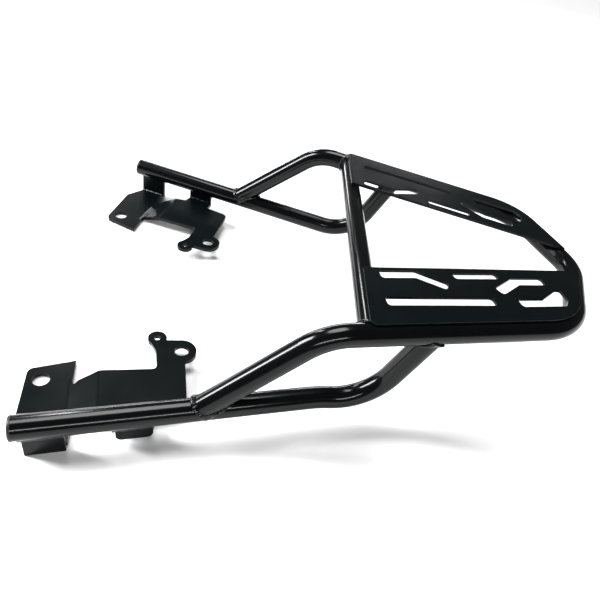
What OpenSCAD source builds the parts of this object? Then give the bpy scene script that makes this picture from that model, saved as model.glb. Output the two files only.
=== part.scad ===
// Rear luggage rack for a motorcycle: a welded weldment of bent steel tube, two slotted
// deck plates and two joggled mounting brackets. Nothing on it folds or moves.
// +X runs to the rear of the machine, +Y to its right, +Z up. Millimetres.

/* [Tube] */
// Outside diameter of the hoop tube
hoop_d = 19; // [18:0.5:21]
// Outside diameter of the two rail tubes
rail_d = 19; // [17:0.5:20]
// Outside diameter of the crossbar tube
crossbar_d = 18; // [16:0.5:19]
// Wall of every tube
tube_wall = 2; // [1.5:0.1:2.5]

/* [Rails] */
// Distance between the two rail centrelines at the front of the rack
front_spread = 399; // [370:1:440]
// Distance from the front of the rack to the rails' cut ends
rail_start = 3; // [1:0.5:6]
// Length of the straight front part of a rail, measured along the machine
rail_straight = 223; // [210:1:245]
// Angle at which a rail closes in on the centreline over its front part
rail_turn = 16; // [14:0.5:18]
// Angle at which it closes in behind the first bend
rail_turn_rear = 10; // [8:0.5:12]
// Length of the part between the first bend and the rise, along the machine
rail_level = 43; // [40:1:60]
// Distance from the start of the rise to the joint under the hoop, along the machine
rail_run_up = 34; // [28:1:40]
// Centreline radius of the gentle first bend
rail_bend_r = 150; // [100:5:160]
// Centreline radius of the bend into the rise
rise_bend_r = 47; // [40:1:48]

/* [Hoop] */
// Place of the hoop's foot on the rail, along the machine
foot_x = 127; // [115:1:140]
// Place of the hoop's front bend, along the machine
bend_x = 212.5; // [205:0.5:225]
// Height of the hoop's front bend above the rails
bend_h = 81.5; // [72:0.5:98]
// Distance between the hoop's sides at the front bend
bend_spread = 295.5; // [280:0.5:310]
// Length of the hoop's sides, from the front bend to the rear corner
side_run = 218; // [190:1:262]
// Angle at which the sides close in towards the rear
side_turn = 14.5; // [12:0.5:16]
// How far the rear tube bulges rearward at its middle
rear_bulge = 34; // [26:1:42]
// Downward tilt of the deck towards the rear
deck_tilt = 1.25; // [0:0.25:3]
// Centreline radius of the front bends
front_bend_r = 48; // [40:1:55]
// Centreline radius of the rear corners
corner_r = 57; // [48:1:62]
// Centreline radius of the middle of the rear tube
rear_middle_r = 54; // [45:1:90]
// Distance from the front bend to the crossbar
crossbar_set_back = 33; // [30:1:45]

/* [Deck plates] */
// Thickness of a deck plate
plate_t = 2.5; // [2:0.5:4]
// Width of a deck plate at its front edge, across the machine
plate_w = 69; // [64:0.5:80]
// Angle at which a plate's inner edge closes in towards the rear
inner_turn = 14; // [12:0.5:15]
// How far a plate's outer edge reaches past the hoop's centreline
plate_overhang = 1; // [0:0.5:3]
// How far a plate reaches in front of the crossbar's centreline
plate_lead = 3; // [1:0.5:5]
// Chamfer on a plate's front outer corner
plate_chamfer = 4; // [2:0.5:8]
// Width of the slots
slot_w = 9.5; // [8:0.5:10]
// Width of the one short, narrow slot
narrow_slot_w = 7.5; // [6:0.5:8]
// Radius of the slots' corners
slot_corner_r = 3; // [2:0.5:3]
// Distance from the inner edge to the middle of the inner row of slots
inner_row = 9; // [8:0.5:10]
// Distance from the inner edge to the middle of the outer row of slots
outer_row = 43; // [42:0.5:45]

/* [Brackets] */
// Thickness of the bracket sheet and its legs
sheet_t = 4; // [3:0.5:4.5]
// Depth of a bracket's front seat below the rail's centreline
front_drop = 29; // [26:0.5:36]
// Depth of its rear seat below the rail's centreline
rear_drop = 18.5; // [17.5:0.5:21]
// Angle between a bracket and the machine's centreline
bracket_turn = 10; // [9:0.5:11]
// Distance between the two front bolt holes, left to right
front_hole_spread = 258.5; // [254:0.5:264]
// Diameter of the front bolt holes
front_hole_d = 14; // [10:0.5:16]
// Distance from a front hole to the rear hole of the same bracket, along the bracket
hole_pitch = 114; // [112:0.5:116]
// How far the rear hole lies inboard of the front hole, across the bracket
hole_step = 23.5; // [22:0.5:25]
// Diameter of the rear bolt holes
rear_hole_d = 12.5; // [8:0.5:14]
// Diameter of the small hole in the round ear
ear_hole_d = 6; // [4:0.5:7]
// Width of a front leg along the rail
front_leg_w = 29; // [24:1:30]
// Width of a rear leg along the rail
rear_leg_w = 28; // [22:1:29]
// How far the front legs reach below the sheet's underside
front_leg_lip = 0.5; // [0.5:0.5:3]
// How far the rear legs reach below the sheet's underside
rear_leg_lip = 5; // [1:0.5:6]
// Inside radius of the sheet's two bends
sheet_bend_r = 7; // [4:0.5:8]

/* [Welds] */
// Size of a weld bead
bead = 2.2; // [1.5:0.1:3]
// Clearance left where a piece is fitted up to a tube before welding
fit_gap = 0.05; // [0.02:0.01:0.2]

/* [Hidden] */
$fn = 64;
coat = [0.035, 0.038, 0.042];
plate_coat = [0.05, 0.055, 0.06];
plug_black = [0.02, 0.02, 0.02];

hoop_r = hoop_d / 2;
rail_r = rail_d / 2;
crossbar_r = crossbar_d / 2;
eps = 0.01;
bend_neck = 0.1;        // how much narrower a tube becomes in its bends
bend_lap = 0.3;         // how far a straight stretch runs over the start of a bend

// Points of the rail centreline, as [x, distance from the middle, z]
rail_dip = 2.5;         // the rail's middle part runs slightly down to the rise
function rail_w(x) = front_spread / 2 - x * tan(rail_turn);
rail_0 = [rail_start, rail_w(rail_start), 0];
rail_1 = [rail_straight, rail_w(rail_straight), 0];
rail_2 = [rail_1[0] + rail_level, rail_1[1] - rail_level * tan(rail_turn_rear), -rail_dip];
head_x = rail_2[0] + rail_run_up;

// Points of the hoop centreline
function side_w(x) = bend_spread / 2 - (x - bend_x) * tan(side_turn);
function deck_z(x) = bend_h - (x - bend_x) * tan(deck_tilt);
function on_side(x) = [x, side_w(x), deck_z(x)];
rail_3 = on_side(head_x);
hoop_0 = [foot_x, rail_w(foot_x), 0];
hoop_1 = on_side(bend_x);
corner_x = bend_x + side_run;
hoop_2 = on_side(corner_x);
hoop_3 = [corner_x + rear_bulge, 0, deck_z(corner_x + rear_bulge)];
crossbar_x = bend_x + crossbar_set_back;

// The model's origin is midway between the rear bolt holes, on the brackets' rear seats
front_hole = [-5.5, front_hole_spread / 2];
rear_hole = front_hole + [
    hole_pitch * cos(bracket_turn) - hole_step * sin(bracket_turn),
    -hole_pitch * sin(bracket_turn) - hole_step * cos(bracket_turn)];
origin = [rear_hole[0], 0, -rear_drop];

function unit(v) = v / norm(v);
function left(p) = [p[0], -p[1], p[2]];

// ---- Flat outlines ----

corner_steps = 6;
// Points of an arc about c, from angle a0 to a1
function arc(c, r, a0, a1, steps) = [for (i = [0 : steps])
    let (a = a0 + (a1 - a0) * i / steps) c + r * [cos(a), sin(a)]];
function xy(p) = [p[0], p[1]];
// Arc of radius r in the corner at p, between the directions u and v of its two edges
function corner_arc(p, u, v, r) =
    let (half = acos(u * v) / 2, c = p + unit(u + v) * r / sin(half),
        from = p + u * r / tan(half) - c, to = p + v * r / tan(half) - c,
        a0 = atan2(from[1], from[0]),
        sweep = (atan2(to[1], to[0]) - a0 + 540) % 360 - 180)
    arc(c, r, a0, a0 + sweep, corner_steps);
// Closed outline through corners [x, y, r], each rounded to its radius r
function rounded(corners) = let (n = len(corners)) [for (i = [0 : n - 1])
    let (p = xy(corners[i]), r = corners[i][2])
    each r == 0 ? [p] : corner_arc(p, unit(xy(corners[(i + n - 1) % n]) - p),
        unit(xy(corners[(i + 1) % n]) - p), r)];

// Corners of one side of a band that runs at a distance from a route of points
function across(d) = [-d[1], d[0]];
function band_side(route, distance, r) = let (last = len(route) - 1) [for (i = [0 : last])
    let (before = across(unit(route[max(i, 1)] - route[max(i, 1) - 1])),
        after = across(unit(route[min(i, last - 1) + 1] - route[min(i, last - 1)])),
        mitre = unit(before + after), p = route[i] + mitre * distance / (mitre * after))
    [p[0], p[1], r]];
function reversed(list) = [for (i = [len(list) - 1 : -1 : 0]) list[i]];
// Band of one width along a route, with rounded corners
module band(route, width, r) {
    polygon(rounded(concat(band_side(route, width / 2, r), reversed(band_side(route, -width / 2, r)))));
}

// Places children in the object's frame
module in_frame() { translate(-origin) children(); }

// side -1 is the machine's left, and the model's near side; side 1 is its right.
// Children are modelled on the right.
module on(side) { in_frame() mirror([0, side < 0 ? 1 : 0, 0]) children(); }

// Turns children so that their Z axis points along d, with their X axis towards x
module aim(at, d, x) {
    ez = unit(d);
    ey = unit(cross(ez, x));
    ex = cross(ey, ez);
    multmatrix([
        [ex[0], ey[0], ez[0], at[0]],
        [ex[1], ey[1], ez[1], at[1]],
        [ex[2], ey[2], ez[2], at[2]]]) children();
}

// ---- Bent tube: straight rings and ring arcs along a list of points ----

function turn_angle(a, b, c) = acos(unit(b - a) * unit(c - b));
function cut_back(a, b, c, r) = r * tan(turn_angle(a, b, c) / 2);

module ring(d, wall) {
    difference() {
        circle(d = d);
        circle(d = d - 2 * wall);
    }
}

// Straight stretch, shortened at each end by the bends there but for a small overlap
module straight(a, b, back_a, back_b, d) {
    run = unit(b - a);
    from = a + run * back_a;
    upright = abs(run[2]) > 0.9 ? [1, 0, 0] : [0, 0, 1];
    aim(from, run, upright) linear_extrude(norm(b - a) - back_a - back_b) ring(d, tube_wall);
}

// Bend at b between the stretches a-b and b-c
module bend(a, b, c, r, d) {
    in_dir = unit(b - a);
    out_dir = unit(c - b);
    angle = turn_angle(a, b, c);
    start = b - in_dir * cut_back(a, b, c, r);
    axis = unit(cross(in_dir, out_dir));
    centre = start + cross(axis, in_dir) * r;
    aim(centre, axis, start - centre)
        rotate_extrude(angle = angle, $fn = 96) translate([r, 0]) ring(d - bend_neck, tube_wall - bend_neck);
}

module bent_tube(points, radii, d) {
    last = len(points) - 1;
    back = [for (i = [0 : last]) i == 0 || i == last ? 0
        : cut_back(points[i - 1], points[i], points[i + 1], radii[i - 1]) - bend_lap];
    for (i = [0 : last - 1]) straight(points[i], points[i + 1], back[i], back[i + 1], d);
    for (i = [1 : last - 1]) bend(points[i - 1], points[i], points[i + 1], radii[i - 1], d);
}

// Solid bar along a line, for coping one tube to another and for weld beads
module bar(a, b, r, past = 0) {
    run = unit(b - a);
    upright = abs(run[2]) > 0.9 ? [1, 0, 0] : [0, 0, 1];
    aim(a - run * past, run, upright) cylinder(r = r, h = norm(b - a) + 2 * past);
}

// ---- Tubes ----

hoop_points = [hoop_0, hoop_1, hoop_2, hoop_3, left(hoop_2), left(hoop_1), left(hoop_0)];
hoop_radii = [front_bend_r, corner_r, rear_middle_r, corner_r, front_bend_r];

module hoop_tube() {
    color(coat) in_frame() difference() {
        bent_tube(hoop_points, hoop_radii, hoop_d);
        for (flip = [0, 1]) mirror([0, flip, 0]) bar(rail_0, rail_1, rail_r + fit_gap);
    }
}

module rail_tube(side) {
    color(coat) on(side) difference() {
        bent_tube([rail_0, rail_1, rail_2, rail_3], [rail_bend_r, rise_bend_r], rail_d);
        bar(hoop_1, hoop_2, hoop_r + fit_gap);
    }
}

crossbar_end = on_side(crossbar_x);
module crossbar_tube() {
    color(coat) in_frame() difference() {
        aim(left(crossbar_end), [0, 1, 0], [0, 0, 1])
            linear_extrude(2 * crossbar_end[1]) ring(crossbar_d, tube_wall);
        for (flip = [0, 1]) mirror([0, flip, 0]) bar(hoop_1, hoop_2, hoop_r + fit_gap);
    }
}

// Plug that closes the front end of a rail: a domed head and a spigot inside the tube
plug_head = 2.5;
plug_spigot = 14;
plug_rim = 1.5;
module rail_plug(side) {
    color(plug_black) on(side) aim(rail_0, rail_0 - rail_1, [0, 0, 1]) {
        translate([0, 0, -plug_spigot]) cylinder(r = rail_r - tube_wall - fit_gap, h = plug_spigot + 0.5);
        translate([0, 0, fit_gap]) rotate_extrude($fn = 64) polygon([
            [0, 0], [rail_r, 0], [rail_r, plug_head - plug_rim],
            [rail_r - plug_rim * 0.3, plug_head - plug_rim * 0.3],
            [rail_r - plug_rim, plug_head], [0, plug_head]]);
    }
}

// ---- Deck plates ----

// A plate is drawn flat: s runs rearward along the hoop's side, t inward from its outer edge
plate_front = crossbar_x - bend_x - plate_lead;
plate_turn = side_turn;
edge_shift = plate_overhang / cos(side_turn);
half_rear = atan2(rear_bulge, side_w(corner_x));        // angle of the rear tube to the crossbar
module plate_frame() {
    translate([bend_x, 0, bend_h]) rotate([0, deck_tilt, 0]) translate([0, 0, hoop_r + fit_gap])
        children();
}

// Outline in plan: x from the hoop's front bend, y from the middle of the rack
function outer_y(x) = bend_spread / 2 + edge_shift - x * tan(plate_turn);
function inner_y(x) = outer_y(plate_front) - plate_w - (x - plate_front) * tan(inner_turn);
rear_x0 = side_run + rear_bulge;                        // rear tube's centreline at the middle
// Where an edge line y = y0 - x tan(turn) meets the rear tube's centreline
function meet_rear(y0, turn) = (rear_x0 - y0 * tan(half_rear)) / (1 - tan(turn) * tan(half_rear));
rear_outer_x = meet_rear(outer_y(0), plate_turn);
rear_inner_x = meet_rear(inner_y(0), inner_turn);
plate_corner_r = corner_r;

// Rounds a corner of a flat outline: what has to be taken off. The arc bulges past the two
// edges by a hair, so that it crosses them instead of touching them.
arc_bulge = 0.02;
module corner_off(vertex, in_dir, out_dir, r) {
    turn = acos(in_dir * out_dir);
    bisector = unit(out_dir - in_dir);
    centre = vertex + bisector * (r / cos(turn / 2));
    back = r * tan(turn / 2);
    grown = [for (p = [vertex - in_dir * back, vertex, vertex + out_dir * back])
        centre + (p - centre) * 1.1];
    difference() {
        polygon([centre, grown[0], grown[1], grown[2]]);
        translate(centre) circle(r = r + arc_bulge, $fn = 120);
    }
}

module plate_outline() {
    corner = [rear_outer_x, outer_y(rear_outer_x)];
    along = [cos(plate_turn), -sin(plate_turn)];
    across = [sin(half_rear), -cos(half_rear)];
    inner_rear = [rear_inner_x, inner_y(rear_inner_x)];
    difference() {
        polygon([
            [plate_front, inner_y(plate_front)],
            [plate_front, outer_y(plate_front) - plate_chamfer],
            [plate_front + plate_chamfer, outer_y(plate_front + plate_chamfer)],
            corner, inner_rear]);
        corner_off(corner, along, across, plate_corner_r);
        plate_slots();
    }
}

// Slots are drawn from the plate's inner front corner: s along the inner edge, t outward
module slot_frame() {
    translate([plate_front, inner_y(plate_front)]) rotate(-plate_turn) children();
}

module plate_slots() {
    slot_frame() {
        bent_slot();
        inner_slot();
        outer_slot();
        hooked_slot();
        stepped_slot();
    }
}

// Each slot but the last follows a short route along the plate; two turn across it part way
module bent_slot() { band([[12, inner_row], [44, inner_row], [68, inner_row + 16]], slot_w, slot_corner_r); }
module inner_slot() {
    band([[80, inner_row + 2], [124, inner_row + 2]], narrow_slot_w, slot_corner_r);
}
module outer_slot() { band([[5, outer_row - 1], [103, outer_row + 1]], slot_w, slot_corner_r); }
module hooked_slot() {
    band([[115, inner_row + 22], [139, inner_row + 9], [169, inner_row + 9]], slot_w, slot_corner_r);
}
// The last slot steps inward and ends square
step_at = 154;          // where its inner side steps
step_back = 13;         // how far inside the row it ends
step_end = 179;
module stepped_slot() {
    polygon(rounded([
        [127, outer_row - 2, slot_corner_r], [step_at, outer_row - 2, slot_corner_r],
        [step_end - 5, outer_row - step_back, slot_corner_r / 2],
        [step_end, outer_row - step_back, slot_corner_r / 2], [step_end, outer_row, slot_corner_r],
        [step_end - 7, outer_row + slot_w - 2, slot_corner_r],
        [127, outer_row + slot_w - 2, slot_corner_r]]));
}

module deck_plate(side) {
    color(plate_coat) on(side) plate_frame() linear_extrude(plate_t) plate_outline();
}

// ---- Mounting brackets ----

// A bracket is drawn from its front hole: u runs rearward along it, v outward across it
module bracket_frame() {
    translate([front_hole[0], front_hole[1], 0]) rotate(-bracket_turn) children();
}
// Plan of a point on the rail's centreline, in the bracket's frame
function to_bracket(x, w) =
    let (dx = x - front_hole[0], dw = w - front_hole[1])
    [dx * cos(bracket_turn) - dw * sin(bracket_turn), dx * sin(bracket_turn) + dw * cos(bracket_turn)];

leg_inboard = sheet_t - 1;      // the legs stand just inboard of the rail's centreline
front_leg_x = 6.5;
rear_leg_x = 68.5;
function leg_foot(x) = to_bracket(x, rail_w(x) - leg_inboard / cos(rail_turn) - fit_gap);
front_leg_a = leg_foot(front_leg_x);
front_leg_b = leg_foot(front_leg_x + front_leg_w * cos(rail_turn));
rear_leg_a = leg_foot(rear_leg_x);
rear_leg_b = leg_foot(rear_leg_x + rear_leg_w * cos(rail_turn));

front_edge_u = -12;             // front edge of the sheet
tab_u = 25;                     // rear edge of the front seat's pointed tab
tab_v = -21;                    // its tip
seat_inner_v = -0.5;            // inner edge between the tab and the arm
arm_u0 = 93;                    // front and rear edges of the arm that carries the rear hole
arm_u1 = 118;
arm_outer_v = 40;               // where the arm ends, outboard
hole_ring = 13.2;               // radius of the round end about the rear hole
ear_ring = 8.4;                 // radius of the small ear
ear_at = [hole_pitch - 21.5, -hole_step - 16];
rear_at = [hole_pitch, -hole_step];
neck_v = rear_at[1] - hole_ring + 0.1;  // straight edge between the ear and the round end
front_gap_v = 41;               // outboard edge between the legs, near the front leg
rear_gap_v = 48;                // and near the rear leg

module bracket_outline() {
    difference() {
        union() {
            polygon(rounded([
                [front_edge_u, -11.5, 6], [tab_u, tab_v, 1], [tab_u, 3, 1], [tab_u + 1.5, 7.5, 1],
                [tab_u + 5, 4, 1], [tab_u + 21, seat_inner_v, 6],
                [arm_u0, seat_inner_v - 1.5, 4], [arm_u0 - 1.5, -hole_step - 3, 0],
                [hole_pitch, -hole_step - 5, 0], [arm_u1 - 1, -hole_step + 12, 2],
                [arm_u1, arm_outer_v, 7], [rear_leg_b[0] - 1, arm_outer_v + 5, 0],
                [rear_leg_b[0], rear_leg_b[1], 0], [rear_leg_a[0], rear_leg_a[1], 0],
                [rear_leg_a[0] - 3, rear_gap_v + 2, 1], [rear_leg_a[0] - 16, rear_gap_v, 5],
                [front_leg_b[0] + 1, front_gap_v - 1, 2],
                [front_leg_b[0], front_leg_b[1], 0], [front_leg_a[0], front_leg_a[1], 0],
                [front_edge_u, front_gap_v + 5, 0]]));
            translate(rear_at) circle(r = hole_ring);
            translate(ear_at) circle(r = ear_ring);
            // Neck that carries the ear and joins it to the round end
            polygon([
                [arm_u0 - 0.5, -hole_step + 2], ear_at + 0.96 * ear_ring * [cos(133), sin(133)], ear_at,
                [ear_at[0] + 0.95 * ear_ring, neck_v], [rear_at[0] - 1.5, neck_v], rear_at]);
        }
        circle(d = front_hole_d);
        translate(rear_at) circle(d = rear_hole_d);
        translate(ear_at) circle(d = ear_hole_d);
    }
}

// Side view of the joggled sheet: p along the bracket, square to the bends, and z up
bend_turn = 13;                 // the bends' angle to straight across the machine
step_p0 = 22.5;                 // where the sheet starts to rise
step_p1 = 46.5;                 // where it reaches the rear seat
step_rise = front_drop - rear_drop;
step_angle = atan2(step_rise, step_p1 - step_p0);
bend_steps = 10;
module bracket_profile() {
    lower_r = sheet_bend_r + sheet_t;
    back_0 = sheet_bend_r * tan(step_angle / 2);
    back_1 = lower_r * tan(step_angle / 2);
    c0 = [step_p0 - back_0, -front_drop + sheet_bend_r];
    c1 = [step_p1 + back_1, -rear_drop - lower_r];
    polygon(concat(
        [[-70, -front_drop]], arc(c0, sheet_bend_r, -90, -90 + step_angle, bend_steps),
        arc(c1, lower_r, 90 + step_angle, 90, bend_steps),
        [[210, -rear_drop], [210, -rear_drop - sheet_t]],
        arc(c1, sheet_bend_r, 90, 90 + step_angle, bend_steps),
        arc(c0, lower_r, -90 + step_angle, -90, bend_steps), [[-70, -front_drop - sheet_t]]));
}

// The pointed tab of the front seat stays flat where it reaches past the bend line
module front_tab() {
    translate([0, 0, -front_drop - sheet_t]) linear_extrude(sheet_t)
        polygon([[tab_u - 12, -17.5], [tab_u, -21], [tab_u, 1.5], [tab_u - 12, 1.5]]);
}

module bracket_plate(side) {
    color(plate_coat) on(side) bracket_frame() union() {
        intersection() {
            translate([0, 0, -front_drop - sheet_t - 1]) linear_extrude(front_drop) difference() {
                bracket_outline();
                polygon([[tab_u - 8, -60], [tab_u - 8, 0], [tab_u + 1, 0], [tab_u + 1, -60]]);
            }
            rotate(bracket_turn - bend_turn) translate([0, 150, 0]) rotate([90, 0, 0])
                linear_extrude(300) bracket_profile();
        }
        front_tab();
    }
}

// Legs: upright tabs under the rail's centreline, drawn in the rail's own frame
module rail_frame(x) {
    translate([x, rail_w(x), 0]) rotate(-rail_turn) children();
}
leg_corner_r = 5;
module leg(x, w, drop, round_r) {
    rail_frame(x) difference() {
        translate([0, -leg_inboard, 0]) rotate([90, 0, 0]) mirror([0, 0, 1]) linear_extrude(sheet_t)
            union() {
                translate([0, -drop + round_r]) square([w, drop - round_r]);
                translate([round_r, -drop]) square([w - 2 * round_r, round_r + eps]);
                for (u = [round_r, w - round_r]) translate([u, -drop + round_r]) circle(r = round_r);
            }
        translate([-1, 0, 0]) rotate([0, 90, 0]) cylinder(r = rail_r + fit_gap, h = w + 2);
    }
}
front_leg_drop = front_drop + sheet_t + front_leg_lip;
rear_leg_drop = rear_drop + sheet_t + rear_leg_lip;
module front_leg(side) {
    color(plate_coat) on(side) leg(front_leg_x, front_leg_w, front_leg_drop, 1);
}
module rear_leg(side) {
    color(plate_coat) on(side) leg(rear_leg_x, rear_leg_w, rear_leg_drop, leg_corner_r);
}

// ---- Weld beads ----

// Bead round a coped joint: what lies close to both tubes and outside them
bead_start = 3;         // how far from the main tube's centreline a bead begins
module joint_bead(branch_from, branch_to, branch_r, main_a, main_b, main_r) {
    $fn = 160;
    run = unit(branch_to - branch_from);
    difference() {
        intersection() {
            bar(branch_from + run * bead_start, branch_to, branch_r + bead);
            bar(main_a, main_b, main_r + bead * 0.9);
        }
        bar(branch_from, branch_to, branch_r + fit_gap, 5);
        bar(main_a, main_b, main_r + 1.6 * fit_gap, 5);
    }
}

module hoop_foot_weld(side) {
    color(coat) on(side)
        joint_bead(hoop_0, hoop_0 + (hoop_1 - hoop_0) * 0.45, hoop_r, rail_0, rail_1, rail_r);
}
module rail_head_weld(side) {
    color(coat) on(side)
        joint_bead(rail_3, rail_3 + (rail_2 - rail_3) * 0.5, rail_r, hoop_1, hoop_2, hoop_r);
}
module crossbar_weld(side) {
    color(coat) on(side)
        joint_bead(crossbar_end, crossbar_end - [0, 40, 0], crossbar_r, hoop_1, hoop_2, hoop_r);
}

// Stitches under a deck plate, in the corner between plate and hoop
stitch_l = 24;
stitch_r = 1.7;
// Distance from the hoop's centreline at which a stitch lies on the tube and under the plate
stitch_in = sqrt(pow(hoop_r + stitch_r / 2, 2) - pow(hoop_r - stitch_r, 2));
module plate_edge_welds(side) {
    color(coat) on(side) difference() {
        plate_frame() for (s = [22, 96, 165]) {
            x = plate_front + s * cos(plate_turn);
            y = bend_spread / 2 - x * tan(side_turn) - stitch_in / cos(side_turn);
            translate([x, y, -fit_gap - stitch_r])
                rotate([0, 90, -side_turn]) cylinder(r = stitch_r, h = stitch_l);
        }
        bar(hoop_1, hoop_2, hoop_r + fit_gap, 5);
    }
}

// Beads where the legs meet the rail, on their outboard faces
leg_bead_r = 3;
module leg_bead(x, w) {
    rail_frame(x) difference() {
        translate([-2, sheet_t - leg_inboard + 0.6, -rail_r - 0.8]) rotate([0, 90, 0])
            cylinder(r = leg_bead_r, h = w + 2);
        translate([-3, -leg_inboard - 10, -60]) cube([w + 6, sheet_t + 10 + fit_gap, 60]);
        translate([-3, 0, 0]) rotate([0, 90, 0]) cylinder(r = rail_r + fit_gap, h = w + 6);
    }
}
module leg_welds(side) {
    color(coat) on(side) {
        leg_bead(front_leg_x, front_leg_w);
        leg_bead(rear_leg_x, rear_leg_w);
    }
}

// Beads where the sheet meets the legs, on its upper face
module sheet_bead(x, w, drop) {
    rail_frame(x) difference() {
        translate([2, -leg_inboard, -drop]) rotate([0, 90, 0]) cylinder(r = bead, h = w - 4);
        translate([-1, -leg_inboard - fit_gap, -drop - 30]) cube([w + 2, sheet_t + 5, 60]);
        translate([-1, -30, -drop - 30 + fit_gap]) cube([w + 2, 60, 30]);
    }
}
module bracket_welds(side) {
    color(coat) on(side) {
        sheet_bead(front_leg_x, front_leg_w, front_drop);
        sheet_bead(rear_leg_x, rear_leg_w, rear_drop);
    }
}

hoop_tube();
crossbar_tube();
rail_tube(-1);  // left_rail_tube
rail_tube(1);  // right_rail_tube
rail_plug(-1);  // left_rail_plug
rail_plug(1);  // right_rail_plug
deck_plate(-1);  // left_deck_plate
deck_plate(1);  // right_deck_plate
bracket_plate(-1);  // left_bracket_plate
bracket_plate(1);  // right_bracket_plate
front_leg(-1);  // left_front_leg
front_leg(1);  // right_front_leg
rear_leg(-1);  // left_rear_leg
rear_leg(1);  // right_rear_leg
hoop_foot_weld(-1);  // left_hoop_foot_weld
hoop_foot_weld(1);  // right_hoop_foot_weld
rail_head_weld(-1);  // left_rail_head_weld
rail_head_weld(1);  // right_rail_head_weld
crossbar_weld(-1);  // left_crossbar_weld
crossbar_weld(1);  // right_crossbar_weld
plate_edge_welds(-1);  // left_plate_edge_welds
plate_edge_welds(1);  // right_plate_edge_welds
leg_welds(-1);  // left_leg_welds
leg_welds(1);  // right_leg_welds
bracket_welds(-1);  // left_bracket_welds
bracket_welds(1);  // right_bracket_welds
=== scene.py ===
# %% [markdown]
# # A motorcycle's rear luggage rack
#
# The rack is bent steel tube, two slotted deck plates and two joggled brackets, welded together
# and powder coated gloss black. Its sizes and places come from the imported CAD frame. This lesson
# gives that frame its finish: eased sheet edges, rippled weld beads, coats, light and a camera.
# Everything is in metres.

# %% Load the frame
import math

import bpy
import numpy as np
from mathutils import Matrix, Vector


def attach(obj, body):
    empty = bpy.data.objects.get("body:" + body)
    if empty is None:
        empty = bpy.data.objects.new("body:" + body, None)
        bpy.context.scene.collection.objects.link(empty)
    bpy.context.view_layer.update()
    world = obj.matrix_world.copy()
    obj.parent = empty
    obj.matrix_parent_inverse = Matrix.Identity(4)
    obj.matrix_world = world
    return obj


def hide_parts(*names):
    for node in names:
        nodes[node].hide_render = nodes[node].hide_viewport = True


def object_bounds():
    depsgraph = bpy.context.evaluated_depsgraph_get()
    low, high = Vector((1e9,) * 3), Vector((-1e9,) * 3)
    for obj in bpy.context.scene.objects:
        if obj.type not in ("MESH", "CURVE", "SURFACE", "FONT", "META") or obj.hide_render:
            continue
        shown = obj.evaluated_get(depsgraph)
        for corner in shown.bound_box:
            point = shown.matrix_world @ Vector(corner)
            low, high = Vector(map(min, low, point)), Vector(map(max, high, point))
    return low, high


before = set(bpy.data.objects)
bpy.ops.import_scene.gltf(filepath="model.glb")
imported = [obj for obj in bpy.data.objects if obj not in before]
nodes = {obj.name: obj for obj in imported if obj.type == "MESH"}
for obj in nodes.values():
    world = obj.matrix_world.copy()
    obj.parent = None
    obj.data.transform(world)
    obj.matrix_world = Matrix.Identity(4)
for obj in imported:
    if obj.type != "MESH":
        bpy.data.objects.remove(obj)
cad_low, cad_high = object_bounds()
mm = 0.001
sides = ("left", "right")
print("loaded", len(nodes), "nodes; box", [round(v, 4) for v in cad_high - cad_low])

# %% [markdown]
# ## Camera
#
# The camera stands on the rack's left, looks down on it and is tilted a little.
# Heading, pitch and roll are turned into three directions by hand, because they can be named
# and changed one at a time, where an Euler triple hides what each number does.

# %% Place the camera
camera_heading = math.radians(8.3)
camera_pitch = math.radians(39.5)
camera_roll = math.radians(-13.6)
camera_aim = Vector((0.1044, -0.0123, 0.0169))
camera_distance = 0.55
lens_mm = 32.9

forward = Vector((
    math.sin(camera_heading) * math.cos(camera_pitch),
    math.cos(camera_heading) * math.cos(camera_pitch),
    -math.sin(camera_pitch)))
level_right = Vector((math.cos(camera_heading), -math.sin(camera_heading), 0))
level_down = forward.cross(level_right)
camera_right = level_right * math.cos(camera_roll) + level_down * math.sin(camera_roll)
camera_down = level_down * math.cos(camera_roll) - level_right * math.sin(camera_roll)

bpy.ops.object.camera_add()
camera = bpy.context.object
camera.name = "camera"
camera.data.lens = lens_mm
camera.data.clip_start = 0.01
turn = Matrix((camera_right, -camera_down, -forward)).transposed().to_4x4()
camera.matrix_world = Matrix.Translation(camera_aim - forward * camera_distance) @ turn
bpy.context.scene.camera = camera
print("camera at", [round(v, 3) for v in camera.matrix_world.translation])

# %% [markdown]
# ## Powder coat
#
# Powder coat is a thick baked paint. It is smooth from afar, but close up its skin is gently
# dimpled, like orange peel, and its gloss varies a little where it flowed or was handled.
# Noise on Object coordinates makes both, so the pattern is fixed to the metal in every view.

# %% Coat material
cloud_scale = 38        # soft patches about 25 mm across
cloud_detail = 5
peel_detail = 2
clear_gloss_share = 0.6     # the clear layer's roughness as a share of the paint's


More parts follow.
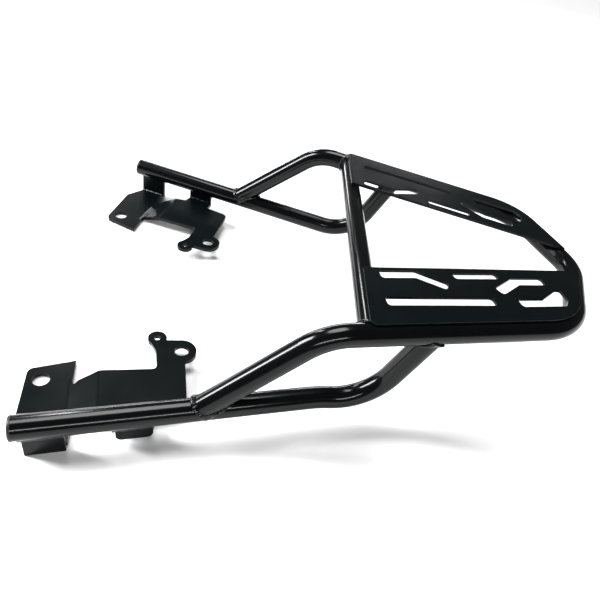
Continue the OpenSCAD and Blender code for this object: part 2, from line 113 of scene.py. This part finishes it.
def coat_material(name, colour, gloss, gloss_change, peel_size, peel_depth, clear, shine, mottle=0.25):
    """Paint whose roughness, colour and surface all vary a little from place to place.

    gloss is its roughness, clear the weight of a clear layer, shine how strongly it reflects,
    and mottle the share by which its colour changes.
    """
    material = bpy.data.materials.new(name)
    material.use_nodes = True
    tree = material.node_tree
    add = tree.nodes.new
    link = tree.links.new
    shader = tree.nodes["Principled BSDF"]
    shader.inputs["Specular IOR Level"].default_value = shine
    shader.inputs["Coat Weight"].default_value = clear
    shader.inputs["Coat Roughness"].default_value = gloss * clear_gloss_share
    place = add("ShaderNodeTexCoord")

    cloud = add("ShaderNodeTexNoise")
    cloud.inputs["Scale"].default_value = cloud_scale
    cloud.inputs["Detail"].default_value = cloud_detail
    link(place.outputs["Object"], cloud.inputs["Vector"])

    shade = add("ShaderNodeMix")
    shade.data_type = "RGBA"
    shade.inputs[6].default_value = (*[c * (1 - mottle) for c in colour], 1)
    shade.inputs[7].default_value = (*[c * (1 + mottle) for c in colour], 1)
    link(cloud.outputs["Fac"], shade.inputs[0])
    link(shade.outputs[2], shader.inputs["Base Color"])

    rough = add("ShaderNodeMapRange")
    rough.inputs["To Min"].default_value = gloss - gloss_change
    rough.inputs["To Max"].default_value = gloss + gloss_change
    link(cloud.outputs["Fac"], rough.inputs["Value"])
    link(rough.outputs["Result"], shader.inputs["Roughness"])

    peel = add("ShaderNodeTexNoise")
    peel.inputs["Scale"].default_value = 1 / peel_size
    peel.inputs["Detail"].default_value = peel_detail
    link(place.outputs["Object"], peel.inputs["Vector"])
    skin = add("ShaderNodeBump")
    skin.inputs["Strength"].default_value = 1
    skin.inputs["Distance"].default_value = peel_depth
    link(peel.outputs["Fac"], skin.inputs["Height"])
    link(skin.outputs["Normal"], shader.inputs["Normal"])
    return material


tube_black = (0.0012, 0.0016, 0.0018)
sheet_black = (0.001, 0.0022, 0.0026)
frame_coat = coat_material(
    "frame_coat", tube_black, gloss=0.16, gloss_change=0.04,
    peel_size=1.6 * mm, peel_depth=0.012 * mm, clear=0.05, shine=0.17)
plate_coat = coat_material(
    "plate_coat", sheet_black, gloss=0.23, gloss_change=0.04,
    peel_size=1.3 * mm, peel_depth=0.01 * mm, clear=0, shine=0.14)
weld_coat = coat_material(
    "weld_coat", tube_black, gloss=0.22, gloss_change=0.07,
    peel_size=0.9 * mm, peel_depth=0.05 * mm, clear=0.05, shine=0.25)
print("coats:", frame_coat.name, plate_coat.name, weld_coat.name)

# %% [markdown]
# ## Moulded plugs
#
# The plugs are soft black plastic. Moulded plastic shows a fine even grain and no clear coat,
# so it is the same recipe with a rougher gloss, a smaller pattern and less colour change.

# %% Plug material
plug_black = coat_material(
    "plug_black", (0.006, 0.006, 0.006), gloss=0.45, gloss_change=0.04,
    peel_size=0.35 * mm, peel_depth=0.03 * mm, clear=0, shine=0.3, mottle=0.1)
print("plastic:", plug_black.name)

# %% [markdown]
# ## Tubes and plugs
#
# The tubes and plugs are bare shapes in the frame, and could be swept again here along their
# centrelines. Their shape is already right, with crisp cut ends, so they only take a finish.

# %% Finish the tubes and plugs
def put_finish(piece, material):
    piece.data.materials.clear()
    piece.data.materials.append(material)


tube_names = ["hoop_tube", "crossbar_tube", "left_rail_tube", "right_rail_tube"]
for name in tube_names:
    put_finish(nodes[name], frame_coat)
for side in sides:
    put_finish(nodes[f"{side}_rail_plug"], plug_black)
print("finished", len(tube_names), "tubes and 2 plugs")

# %% [markdown]
# ## Eased edges on the sheet metal
#
# A laser leaves a sharp corner, and thick paint rounds it. That small round is what catches the
# light along a plate or a slot. Each sheet piece is a copy of its CAD shape with its loose
# triangles merged back into flat faces, and a narrow bevel on the sharp edges only. Blender
# clamps a bevel to what a piece's shortest edges allow, so the legs get the full width, the
# deck plates less, and the brackets none at all.

# %% Ease the edges of the plates, brackets and legs
merge_gap = 0.001 * mm
ease_width = 0.35 * mm  # the most that it may be, because short edges clamp it
ease_segments = 2
sharp_edge = math.radians(50)
flat_angle = math.radians(0.5)
flat_pull = 100         # 50 is neutral; at 100 the large flat faces win over a bevel's narrow ones


def only(piece):
    """Selects one piece and nothing else, because an operator acts on all that is selected."""
    bpy.ops.object.select_all(action="DESELECT")
    piece.select_set(True)
    bpy.context.view_layer.objects.active = piece


def merged_copy(node, name):
    """A copy of a CAD node whose loose triangles are joined, ready to be modelled on."""
    piece = bpy.data.objects.new(name, nodes[node].data.copy())
    bpy.context.collection.objects.link(piece)
    only(piece)
    bpy.ops.object.mode_set(mode="EDIT")
    bpy.ops.mesh.select_all(action="SELECT")
    bpy.ops.mesh.remove_doubles(threshold=merge_gap)
    bpy.ops.object.mode_set(mode="OBJECT")
    return piece


def hand_over(piece, node, material):
    """Gives a finished piece its coat and its body, and hides the CAD node that it stands in for."""
    put_finish(piece, material)
    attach(piece, "root")
    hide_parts(node)


def eased_sheet(node):
    piece = merged_copy(node, f"{node}_eased")
    bpy.ops.object.mode_set(mode="EDIT")
    bpy.ops.mesh.select_all(action="SELECT")
    bpy.ops.mesh.dissolve_limited(angle_limit=flat_angle)
    bpy.ops.object.mode_set(mode="OBJECT")
    bevel = piece.modifiers.new("eased_edge", "BEVEL")
    bevel.width = ease_width
    bevel.segments = ease_segments
    bevel.limit_method = "ANGLE"
    bevel.angle_limit = sharp_edge
    bpy.ops.object.modifier_apply(modifier=bevel.name)
    bpy.ops.object.shade_smooth_by_angle(angle=sharp_edge)
    flat_faces = piece.modifiers.new("flat_faces", "WEIGHTED_NORMAL")
    flat_faces.keep_sharp = True
    flat_faces.weight = flat_pull
    bpy.ops.object.modifier_apply(modifier=flat_faces.name)
    hand_over(piece, node, plate_coat)
    return piece


for side in sides:
    for part in ("deck_plate", "bracket_plate", "front_leg", "rear_leg"):
        sheet = eased_sheet(f"{side}_{part}")
        print(sheet.name, len(sheet.data.polygons), "faces")

# %% [markdown]
# ## Weld beads
#
# A weld bead is laid as a row of overlapping puddles, so its surface ripples along the joint.
# The CAD bead is plain. A copy of it is remeshed into small even faces, softened, and then each
# point is pushed along its normal by a wave that runs along the bead. A bead that closes on
# itself round a tube is measured by its angle, and a straight one by its length.

# %% Ripple the beads
bead_voxel = 0.45 * mm
ripple_pitch = 3.2 * mm
ripple_height = 0.28 * mm
lump_height = 0.22 * mm
lump_waves = np.array([[610, -350], [470, 520], [390, 640]])    # radians a metre, two crossing waves
soften_passes = 4


def bead_run(points, closed):
    """Distance along the bead at each of its points."""
    middle = points.mean(axis=0)
    _, axes = np.linalg.eigh(np.cov((points - middle).T))
    local = (points - middle) @ axes
    if not closed:
        return local[:, 2]
    angle = np.arctan2(local[:, 1], local[:, 2])
    around = 2 * math.pi * np.hypot(local[:, 1], local[:, 2]).mean()
    puddles = round(around / ripple_pitch)
    return angle / (2 * math.pi) * puddles * ripple_pitch


def rippled_bead(node, closed):
    piece = merged_copy(node, f"{node}_rippled")
    remesh = piece.modifiers.new("even_faces", "REMESH")
    remesh.mode = "VOXEL"
    remesh.voxel_size = bead_voxel
    bpy.ops.object.modifier_apply(modifier=remesh.name)
    soften = piece.modifiers.new("soften", "SMOOTH")
    soften.iterations = soften_passes
    bpy.ops.object.modifier_apply(modifier=soften.name)
    mesh = piece.data
    points = np.array([v.co for v in mesh.vertices])
    normals = np.array([v.normal for v in mesh.vertices])
    run = bead_run(points, closed)
    wave = np.abs(np.sin(math.pi * run / ripple_pitch)) - 0.5     # crests out, valleys in
    lumps = np.sin(points @ lump_waves).prod(axis=1)
    push = ripple_height * wave + lump_height * lumps
    mesh.vertices.foreach_set("co", (points + normals * push[:, None]).ravel())
    mesh.update()
    bpy.ops.object.shade_smooth()
    hand_over(piece, node, weld_coat)
    return piece


closed_beads = ("hoop_foot_weld", "rail_head_weld", "crossbar_weld")
straight_beads = ("plate_edge_welds", "leg_welds", "bracket_welds")
for side in sides:
    for part in closed_beads + straight_beads:
        bead = rippled_bead(f"{side}_{part}", part in closed_beads)
        print(bead.name, len(bead.data.polygons), "faces")

# %% [markdown]
# ## Floor and light
#
# Gloss black is seen by what it reflects, so the lights are long soft boxes whose reflections
# draw a line along each tube. One low behind lights the upper edges, a small one high beyond the
# front catches the bends, one in front lights the crossbar and one near draws the outer sides.
# A wide soft sun overhead keeps the floor white to the horizon, with only soft shadows. The sky
# is white to look at but dim as a light, which leaves the paint black.

# %% Floor
floor_size = 30
bpy.ops.mesh.primitive_plane_add(size=floor_size, location=(0, 0, cad_low.z))
floor = bpy.context.object
floor.name = "floor"
floor_white = bpy.data.materials.new("floor_white")
floor_white.use_nodes = True
floor_shader = floor_white.node_tree.nodes["Principled BSDF"]
floor_shade = 0.86
floor_shader.inputs["Base Color"].default_value = (floor_shade, floor_shade, floor_shade, 1)
floor_shader.inputs["Roughness"].default_value = 0.9
floor_shader.inputs["Specular IOR Level"].default_value = 0.1
put_finish(floor, floor_white)
print("floor at", round(cad_low.z, 4))

# %% Lights
def soft_box(name, place, width, length, watts):
    """A rectangular lamp that faces the rack."""
    bpy.ops.object.light_add(type="AREA", location=place)
    lamp = bpy.context.object
    lamp.name = name
    lamp.data.shape = "RECTANGLE"
    lamp.data.size = width
    lamp.data.size_y = length
    lamp.data.energy = watts
    lamp.rotation_euler = (camera_aim - Vector(place)).to_track_quat("-Z", "Y").to_euler()


soft_box("back_box", place=(0.0, 2.2, 0.42), width=2.2, length=0.16, watts=30)
soft_box("bend_box", place=(-0.75, 1.45, 1.15), width=0.12, length=0.4, watts=8)
soft_box("front_box", place=(-1.4, 0.1, 1.0), width=0.4, length=1.2, watts=90)
soft_box("near_box", place=(0.3, -1.6, 0.9), width=1.2, length=0.1, watts=14)

bpy.ops.object.light_add(type="SUN")
sky_panel = bpy.context.object
sky_panel.name = "sky_panel"
sky_panel.data.energy = 2.9
sky_panel.data.angle = math.radians(28)
sky_panel.rotation_euler = (math.radians(-14), math.radians(-4), 0)

world = bpy.data.worlds.new("studio")
world.use_nodes = True
sky = world.node_tree.nodes["Background"]
sky.inputs["Color"].default_value = (1, 1, 1, 1)
ray = world.node_tree.nodes.new("ShaderNodeLightPath")
brightness = world.node_tree.nodes.new("ShaderNodeMapRange")
sky_as_light = 0.1
sky_to_look_at = 1
brightness.inputs["To Min"].default_value = sky_as_light
brightness.inputs["To Max"].default_value = sky_to_look_at
world.node_tree.links.new(ray.outputs["Is Camera Ray"], brightness.inputs["Value"])
world.node_tree.links.new(brightness.outputs["Result"], sky.inputs["Strength"])
bpy.context.scene.world = world
bpy.context.scene.view_settings.view_transform = "Standard"
